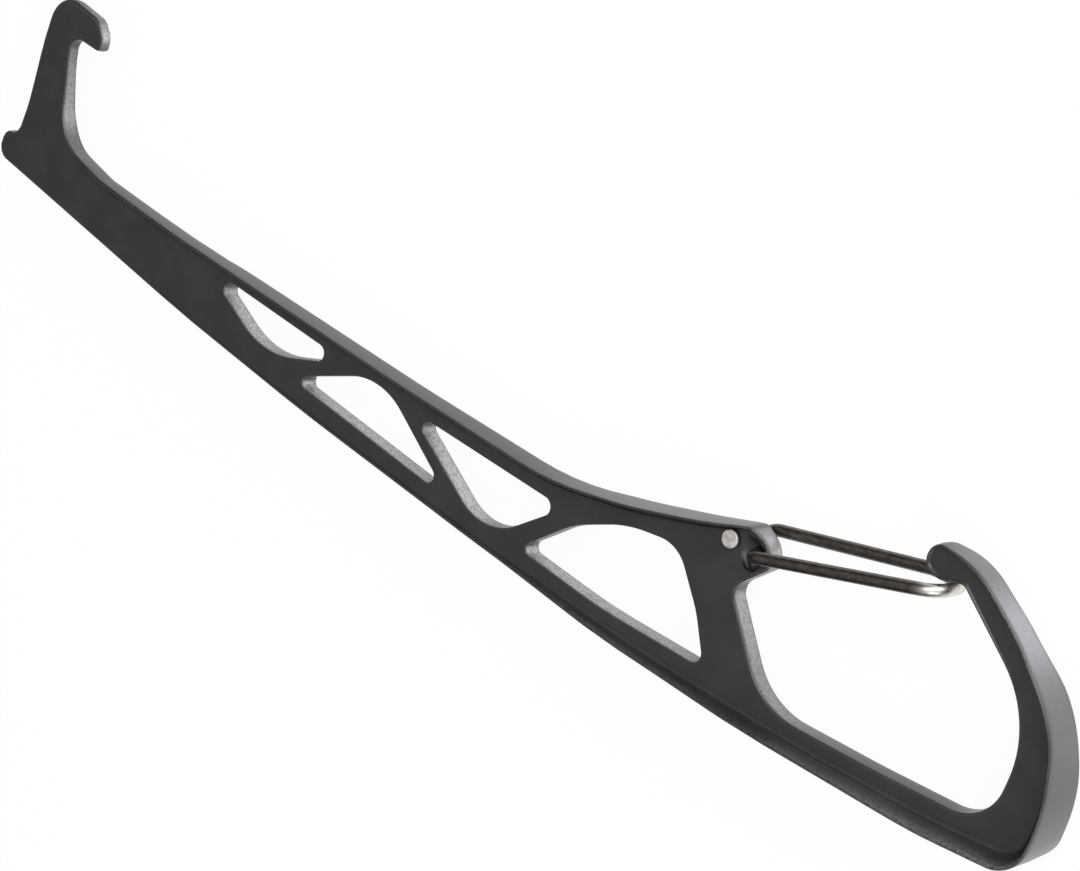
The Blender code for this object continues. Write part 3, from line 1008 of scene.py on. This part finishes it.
class NUTTOOL_OT_body(bpy.types.Operator):
    """Forges the body: hook, windowed beam, lug, clip loop, heel and nose"""

    bl_idname = "nuttool.body"
    bl_label = "Forge the body"

    def execute(self, context):
        sizes = context.scene.nuttool_body
        half_web = sizes.web / MM / 2
        mesh = forge_edge(sizes)
        for corners in WINDOWS:
            join(mesh, cut_window(corners, half_web))
        everything = [*mesh.verts, *mesh.edges, *mesh.faces]
        bmesh.ops.mirror(mesh, geom=everything, matrix=Matrix.Identity(4), merge_dist=SAME_SPOT, axis="Z")
        join(mesh, bore_rivet_hole(half_web, context.scene.nuttool_gate.wire / MM / 2 + HOLE_CLEARANCE))
        join(mesh, carve_scoop(half_web))
        fill_web(mesh, half_web)
        fill_web(mesh, -half_web)
        thin_hook(mesh, sizes.hook_tip / sizes.web)
        piece = settle(mesh, "forged_body", anodised_finish(sizes))
        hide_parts("body")
        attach(piece, "body")
        return {"FINISHED"}


class NUTTOOL_OT_gate(bpy.types.Operator):
    """Bends the gate's wire and heads its far end"""

    bl_idname = "nuttool.gate"
    bl_label = "Bend the gate"

    def execute(self, context):
        sizes = context.scene.nuttool_gate
        wire = settle(bend_wire(sizes), "gate_wire_bent", wire_finish(sizes))
        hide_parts("gate_wire")
        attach(wire, "gate")
        head = settle(head_far_end(sizes), "gate_rivet_head", head_finish(sizes))
        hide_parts("gate_wire")
        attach(head, "gate")
        return {"FINISHED"}


def soft_lamp(name, spot, aim, size, power):
    """A large square lamp."""
    lamp = bpy.data.lights.new(name, "AREA")
    lamp.shape = "SQUARE"
    lamp.size = size
    lamp.energy = power
    holder = bpy.data.objects.new(name, lamp)
    holder.location = spot
    holder.rotation_euler = (Vector(aim) - Vector(spot)).to_track_quat("-Z", "Y").to_euler()
    bpy.context.scene.collection.objects.link(holder)


class NUTTOOL_OT_stage(bpy.types.Operator):
    """Lays the floor, hangs the lamps and sets up the camera"""

    bl_idname = "nuttool.stage"
    bl_label = "Set the stage"

    def execute(self, context):
        settings = context.scene.nuttool_stage
        scene = context.scene
        self.lay_floor(settings)
        self.light_world(scene)
        for name, spot, aim, width, share in LAMPS:
            soft_lamp(name, spot, aim, width, share * settings.lamp_power)
        camera = bpy.data.cameras.new("camera")
        camera.lens = settings.lens
        camera.sensor_width = SENSOR_WIDTH
        holder = bpy.data.objects.new("camera", camera)
        holder.location = CAMERA_SPOT
        holder.rotation_euler = [math.radians(angle) for angle in CAMERA_TURN]
        scene.collection.objects.link(holder)
        scene.camera = holder
        scene.view_settings.view_transform = "Standard"
        return {"FINISHED"}

    def lay_floor(self, settings):
        mesh = bmesh.new()
        bmesh.ops.create_grid(mesh, x_segments=1, y_segments=1, size=FLOOR_REACH)
        bmesh.ops.translate(mesh, vec=UP * -FLOOR_DROP, verts=mesh.verts)
        data = bpy.data.meshes.new("floor")
        mesh.to_mesh(data)
        mesh.free()
        floor = bpy.data.objects.new("floor", data)
        bpy.context.scene.collection.objects.link(floor)
        material, nodes = new_finish("white_floor")
        paper = nodes.add("ShaderNodeBsdfDiffuse", None, {"Color": opaque(settings.floor_colour)})
        glow = nodes.add("ShaderNodeEmission", None, {"Color": (1, 1, 1, 1), "Strength": 1.0})
        path = nodes.add("ShaderNodeLightPath")
        seen = Value(nodes, path.outputs["Is Camera Ray"]) * FLOOR_SEEN
        mirrored = Value(nodes, path.outputs["Is Glossy Ray"])
        through = Value(nodes, path.outputs["Is Transmission Ray"])
        share = seen.maths("MAXIMUM", seen, mirrored.maths("MAXIMUM", mirrored, through))
        mixed = nodes.add("ShaderNodeMixShader", None, {0: share, 1: paper.outputs[0], 2: glow.outputs[0]})
        nodes.add("ShaderNodeOutputMaterial", None, {"Surface": mixed.outputs[0]})
        data.materials.append(material)

    def light_world(self, scene):
        world = bpy.data.worlds.new("world")
        scene.world = world
        world.use_nodes = True
        nodes = Nodes(world.node_tree)
        path = nodes.add("ShaderNodeLightPath")
        seen = Value(nodes, path.outputs["Is Camera Ray"])
        mirrored = Value(nodes, path.outputs["Is Glossy Ray"])
        way = nodes.add("ShaderNodeTexCoord").outputs["Generated"]
        height = Value(nodes, nodes.add("ShaderNodeSeparateXYZ", None, {0: way}).outputs["Z"])
        studio = 0.03 + 0.34 * height.between(0.38, 0.75)
        strength = (1 - seen - mirrored) * 0.5 + seen + mirrored * studio
        background = nodes.add("ShaderNodeBackground", None, {"Color": (1, 1, 1, 1), "Strength": strength})
        nodes.add("ShaderNodeOutputWorld", None, {"Surface": background.outputs[0]})


class NUTTOOL_PT_panel(bpy.types.Panel):
    """Sizes, colours and operators of the nut tool"""

    bl_label = "Nut tool"
    bl_idname = "NUTTOOL_PT_panel"
    bl_space_type = "VIEW_3D"
    bl_region_type = "UI"
    bl_category = "Nut tool"

    def draw(self, context):
        groups = [
            (context.scene.nuttool_body, "nuttool.body"),
            (context.scene.nuttool_gate, "nuttool.gate"),
            (context.scene.nuttool_stage, "nuttool.stage"),
        ]
        for group, operator in groups:
            box = self.layout.box()
            for name in group.bl_rna.properties.keys():
                if name not in ("rna_type", "name"):
                    box.prop(group, name)
            box.operator(operator)


CLASSES = (
    BodySizes,
    GateSizes,
    StageSettings,
    NUTTOOL_OT_body,
    NUTTOOL_OT_gate,
    NUTTOOL_OT_stage,
    NUTTOOL_PT_panel,
)


def register():
    for kind in CLASSES:
        bpy.utils.register_class(kind)
    bpy.types.Scene.nuttool_body = PointerProperty(type=BodySizes)
    bpy.types.Scene.nuttool_gate = PointerProperty(type=GateSizes)
    bpy.types.Scene.nuttool_stage = PointerProperty(type=StageSettings)


def unregister():
    del bpy.types.Scene.nuttool_stage
    del bpy.types.Scene.nuttool_gate
    del bpy.types.Scene.nuttool_body
    for kind in reversed(CLASSES):
        bpy.utils.unregister_class(kind)


def main():
    register()
    bpy.ops.nuttool.body()
    bpy.ops.nuttool.gate()
    bpy.ops.nuttool.stage()


if __name__ == "__main__":
    main()
